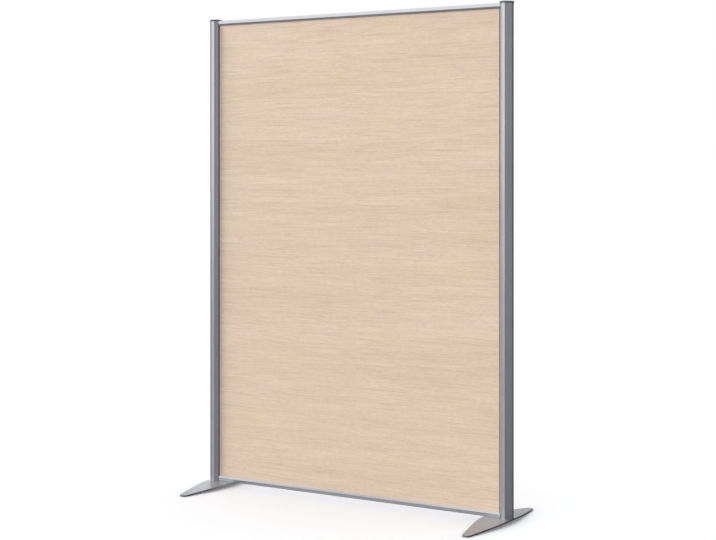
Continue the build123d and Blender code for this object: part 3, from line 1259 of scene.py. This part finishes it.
@dataclass
class Foot(EndPiece):
    """One foot: the bent boat-shaped plate and its screws; its washer and glides keep their CAD meshes.

    The screws are turned as they were driven, the bolt in degrees and the rail's screw in radians.
    """

    length: float = 496.0
    half_width: float = 52.5
    half_tip: float = 13.5
    tip_radius: float = 10.0
    tip_share: float = 0.81
    tip_steps: int = 9
    curve_share: float = 0.48
    rows: tuple[float, ...] = (0, 12, 24, 30, 36, 42, 48, 54, 66, 80, 95, 108, 119, 150, 190, 220)
    inset: float = 28.0
    thickness: float = 5.0
    top: float = 20.0
    tip_gap: float = 1.5
    seat: float = 80.0
    bend_radius: float = 400.0
    arris: float = 0.6
    arris_angle: float = 50.0
    bolt_hole: float = 4.3
    bolt_turn: float = 11.0
    screw_hole: float = 2.75
    screw_reach: float = 66.0
    screw_turn: float = 0.4
    overrun: float = 5.0
    washer: float = 1.6
    bolt: Screw = field(default_factory=lambda: Screw(
        shank=4.0, head=7.0, head_height=4.4, length=40.0, key=5.0, key_depth=2.6, pitch=1.25))
    screw: Screw = field(default_factory=lambda: Screw(
        shank=2.5, head=4.75, head_height=2.8, length=12.0, key=3.0, key_depth=1.6, pitch=0.8))

    def half_at(self, along: float) -> float:
        """Works out half the foot's width, with its bowed side and rounded tip.

        Args:
            along: The distance from its middle, in millimetres.

        Returns:
            Half the width.
        """
        end = self.length / 2
        curved = end * self.curve_share
        drop = curved * (self.half_width - self.half_tip) / (2 * end - curved)
        bow = (drop ** 2 + curved ** 2) / (2 * drop)
        if along <= curved:
            wide = self.half_width - bow + math.sqrt(bow ** 2 - along ** 2)
        else:
            start = self.half_width - drop
            wide = start + (self.half_tip - start) * (along - curved) / (end - curved)
        into = along - (end - self.tip_radius)
        if into > 0:
            wide -= (self.tip_radius - math.sqrt(max(self.tip_radius ** 2 - into ** 2, 0.0))) * self.tip_share
        return wide

    def level_at(self, along: float) -> float:
        """Works out the level of the upper face: a flat seat, a wide bend and a straight wing.

        Args:
            along: The distance from its middle, in millimetres.

        Returns:
            The level.
        """
        knee = self.seat / 2
        fall = (self.top - self.thickness - self.tip_gap) / (self.length / 2 - knee)
        setback = self.bend_radius * math.tan(math.atan(fall) / 2)
        start = knee - setback
        if along <= start:
            return self.top
        if along < knee + setback:
            return self.top - self.bend_radius + math.sqrt(self.bend_radius ** 2 - (along - start) ** 2)
        return self.top - (along - knee) * fall

    def plate(self) -> Mesh:
        """Makes the bent plate with rounded arrises and its two holes.

        Returns:
            The plate, drawn round the left post's axis.
        """
        quarter = [QUARTER * step / self.tip_steps for step in range(self.tip_steps + 1)]
        tip = [self.length / 2 - self.tip_radius * (1 - math.sin(angle)) for angle in quarter]
        rows = sorted([*self.rows, *tip])
        rings = []
        for along in [-a for a in reversed(rows[1:])] + rows:
            wide, level = self.half_at(abs(along)), self.level_at(abs(along))
            under = level - self.thickness
            section = [(-wide, under), (wide, under), (wide, level), (-wide, level)]
            rings.append([(self.inset + x, along, z) for x, z in section])
        piece = object_mesh("plate", lofted(rings))
        round_off = piece.modifiers.new("arris", "BEVEL")
        round_off.width = self.arris * MM
        round_off.segments = 2
        round_off.limit_method = "ANGLE"
        round_off.angle_limit = math.radians(self.arris_angle)
        pins = [placed(lofted([circle(radius), circle(radius, self.top + self.overrun)]), along_x(reach))
                for reach, radius in ((0.0, self.bolt_hole), (self.screw_reach, self.screw_hole))]
        return drilled(evaluated(piece), joined(pins))

    def build(self) -> None:
        """Makes the plate and its two screws, and dresses the washer and glides."""
        self.show("foot_plate", self.plate(), FOOT, "foot")
        under = self.top - self.thickness
        self.show("foot_bolt_m8", self.bolt.mesh(), PLATING, "foot_bolt", under - self.washer, self.bolt_turn)
        driven = along_x(self.screw_reach) @ Matrix.Rotation(self.screw_turn, 4, "Z")
        self.show("foot_rail_screw_m5", placed(self.screw.mesh(), driven), PLATING, "foot_rail_screw", under)
        dressed(f"foot_washer_{self.side.value}", PLATING)
        for tip in ("front", "back"):
            dressed(f"foot_pad_{self.side.value}_{tip}", GLIDE)


# The studio

@dataclass
class Studio:
    """Camera, white floor and background, soft lamps, and glowing cards that paint the metal's reflections.
    Metres.
    """

    camera_place: Point = (3.0164, -4.7644, 1.2186)
    camera_turn: float = 32.15
    lens: float = 77.5
    sensor: float = 36.0
    shift: float = -0.1395
    sight: float = 200.0
    floor_reach: float = 60.0
    floor_colour: str = "#F7FAFE"
    floor_bounce: str = "#808080"
    floor_lift: float = 0.13
    card_distance: float = 6.0
    card_foot: float = 0.01
    on_floor: float = 0.0008
    at_foot: float = 0.0012

    def camera(self) -> None:
        """Sets the camera where the photograph was taken from, level, with its frame shifted down."""
        lens = bpy.data.cameras.new("camera")
        lens.lens = self.lens
        lens.sensor_width = self.sensor
        lens.shift_y = self.shift
        lens.clip_end = self.sight
        eye = bpy.data.objects.new("camera", lens)
        eye.location = self.camera_place
        eye.rotation_euler = (QUARTER, 0.0, math.radians(self.camera_turn))
        bpy.context.scene.collection.objects.link(eye)
        bpy.context.scene.camera = eye

    def world(self) -> None:
        """Makes the even white background, which also gives the soft light from all round."""
        world = bpy.data.worlds.new("studio")
        bpy.context.scene.world = world
        tree = emptied(world)
        white = add_node(tree, "ShaderNodeBackground", {"Color": (1.0, 1.0, 1.0, 1.0), "Strength": 1.0})
        add_node(tree, "ShaderNodeOutputWorld", {"Surface": white.outputs[0]})

    def floor(self) -> bpy.types.Object:
        """Lays the floor, which looks white where nothing shades it and throws less light back up.

        Returns:
            The floor.
        """
        material = bpy.data.materials.new("studio_floor")
        tree = emptied(material)
        rays = add_node(tree, "ShaderNodeLightPath").outputs
        seen = rays["Is Camera Ray"]
        for ray in ("Is Glossy Ray", "Is Transmission Ray"):
            seen = add_node(tree, "ShaderNodeMath", {0: seen, 1: rays[ray]}, operation="MAXIMUM").outputs[0]
        paint = add_node(tree, "ShaderNodeMix", {
            MIX_SHARE: seen, FIRST_COLOUR: self.floor_bounce, SECOND_COLOUR: self.floor_colour},
            data_type="RGBA")
        matt = add_node(tree, "ShaderNodeBsdfDiffuse", {"Color": paint.outputs[MIXED_COLOUR]})
        lift = add_node(tree, "ShaderNodeMath", {0: seen, 1: self.floor_lift}, operation="MULTIPLY")
        glow = add_node(tree, "ShaderNodeEmission", {"Strength": lift.outputs[0]})
        both = add_node(tree, "ShaderNodeAddShader", {0: matt.outputs[0], 1: glow.outputs[0]})
        add_node(tree, "ShaderNodeOutputMaterial", {"Surface": both.outputs[0]})
        far = self.floor_reach
        return self.sheet("studio_floor", [(-far, -far, 0), (far, -far, 0), (far, far, 0), (-far, far, 0)],
                          material)

    def sheet(self, name: str, corners: Outline, material: Material) -> bpy.types.Object:
        """Makes a flat sheet of the studio.

        Args:
            name: Its name.
            corners: Its four corners, in metres.
            material: What it is made of.

        Returns:
            The sheet.
        """
        mesh = bpy.data.meshes.new(name)
        mesh.from_pydata(corners, [], [(0, 1, 2, 3)])
        mesh.materials.append(material)
        sheet = object_mesh(name, mesh)
        return sheet

    def card(self, name: str, corners: Outline, tone: str, strength: float = 1.0) -> None:
        """Stands a glowing grey card that only reflections see: a painted reflection on the metal.

        Args:
            name: Its name.
            corners: Its four corners, in metres.
            tone: Its grey, as it is mirrored.
            strength: How many times that grey it glows.
        """
        material = bpy.data.materials.new(name)
        tree = emptied(material)
        grey = add_node(tree, "ShaderNodeEmission", {"Color": tone, "Strength": strength})
        add_node(tree, "ShaderNodeOutputMaterial", {"Surface": grey.outputs[0]})
        card = self.sheet(name, corners, material)
        card.visible_camera = False
        card.visible_diffuse = False
        card.visible_transmission = False
        card.visible_shadow = False

    def cards(self) -> None:
        """Stands cards round the object, by the turns of their ends from the front, and lays others down.

        All of them are painted reflections on the metal.
        """
        self.card("card_front", [(-1.6, -1.6, 0.6), (-0.5, -1.6, 0.6), (-0.5, -1.6, 1.2), (-1.6, -1.6, 1.2)],
                  "#6C6C72")
        # Painted reflections: standing cards that the metal mirrors darker than the white background;
        # card_back_left glows brighter than white as a painted highlight.
        for name, start, end, high, tone, strength in (
                ("card_front_right", 36, 58, 5.0, "#86868A", 1.0),
                ("card_right", 58, 118, 5.0, "#A0A0A4", 1.0),
                ("card_back_right", 118, 178, 5.0, "#1C1C20", 1.0),
                ("card_back", 178, 206, 2.4, "#D6D6D8", 1.0),
                ("card_back_left", 206, 226, 2.4, "#FFFFFF", 1.9),
                ("card_left", 226, 284, 4.0, "#505056", 1.0)):
            ends = [polar(self.card_distance, math.radians(turn - 90)) for turn in (start, end)]
            low, top = ([(x, y, level) for x, y, _ in ends] for level in (self.card_foot, high))
            self.card(name, low + top[::-1], tone, strength)
        # Painted reflections: cards laid on the floor, darker than the white floor, for the metal to mirror.
        for name, left, right, near, far, level, tone in (
                ("card_floor_near", -9.0, 0.65, -1.6, -0.04, self.on_floor, "#86868C"),
                ("card_floor_middle", -9.0, 0.65, -3.7, -1.6, self.on_floor, "#4C4C56"),
                ("card_floor_far", -9.0, 0.65, -14.0, -3.7, self.on_floor, "#7C7C84"),
                ("card_floor_left", -9.0, -0.75, -0.04, 8.0, self.on_floor, "#5C5C62"),
                ("card_floor_right", 0.65, 9.0, -9.0, 0.0, self.on_floor, "#88888C"),
                ("card_floor_back", 0.65, 9.0, 0.0, 8.0, self.on_floor, "#303034"),
                # Painted shade: dark cards just under the feet's edges, which the edges mirror as shade.
                ("shade_card_foot_left", -0.65, -0.54, -0.29, 0.25, self.at_foot, "#18181C"),
                ("shade_card_foot_right", 0.6, 0.72, -0.29, 0.27, self.at_foot, "#18181C")):
            self.card(name, [(left, near, level), (right, near, level), (right, far, level),
                             (left, far, level)], tone)

    def lamp(self, name: str, floor: bpy.types.Object, turn: float, rise: float, width: float,
             light: float) -> None:
        """Hangs a wide lamp far away, which metal doesn't mirror. The floor is left to the world's light.

        Args:
            name: Its name.
            floor: The floor, which it doesn't light.
            turn: Where it hangs, in degrees to the right of the front.
            rise: How high it hangs, in degrees.
            width: How wide it looks, in degrees.
            light: Its strength.
        """
        data = bpy.data.lights.new(name, "SUN")
        data.energy = light
        data.angle = math.radians(width)
        lamp = bpy.data.objects.new(name, data)
        lamp.visible_glossy = False
        lamp.rotation_euler = (math.radians(90.0 - rise), 0.0, math.radians(turn))
        bpy.context.scene.collection.objects.link(lamp)
        unlit = bpy.data.collections.new(f"unlit_by_{name}")
        unlit.objects.link(floor)
        unlit.collection_objects[0].light_linking.link_state = "EXCLUDE"
        lamp.light_linking.receiver_collection = unlit

    def build(self) -> None:
        """Makes the whole studio."""
        bpy.context.scene.view_settings.view_transform = "Standard"
        self.camera()
        self.world()
        floor = self.floor()
        self.lamp("key", floor, turn=-70.0, rise=56.0, width=18.0, light=6.4)
        self.lamp("back", floor, turn=200.0, rise=35.0, width=40.0, light=1.1)
        self.cards()


def main() -> None:
    """Builds the studio and the partition, and logs each piece."""
    logging.basicConfig(level=logging.INFO, format="%(message)s")
    Studio().build()
    places = Places()
    Board(places).build()
    Rail(Level.TOP, places, seed=3).build()
    Rail(Level.BOTTOM, places, seed=8).build()
    for side in Side:
        Post(side, places).build()
        Cap(side, places).build()
        Foot(side, places).build()


if __name__ == "__main__":
    main()
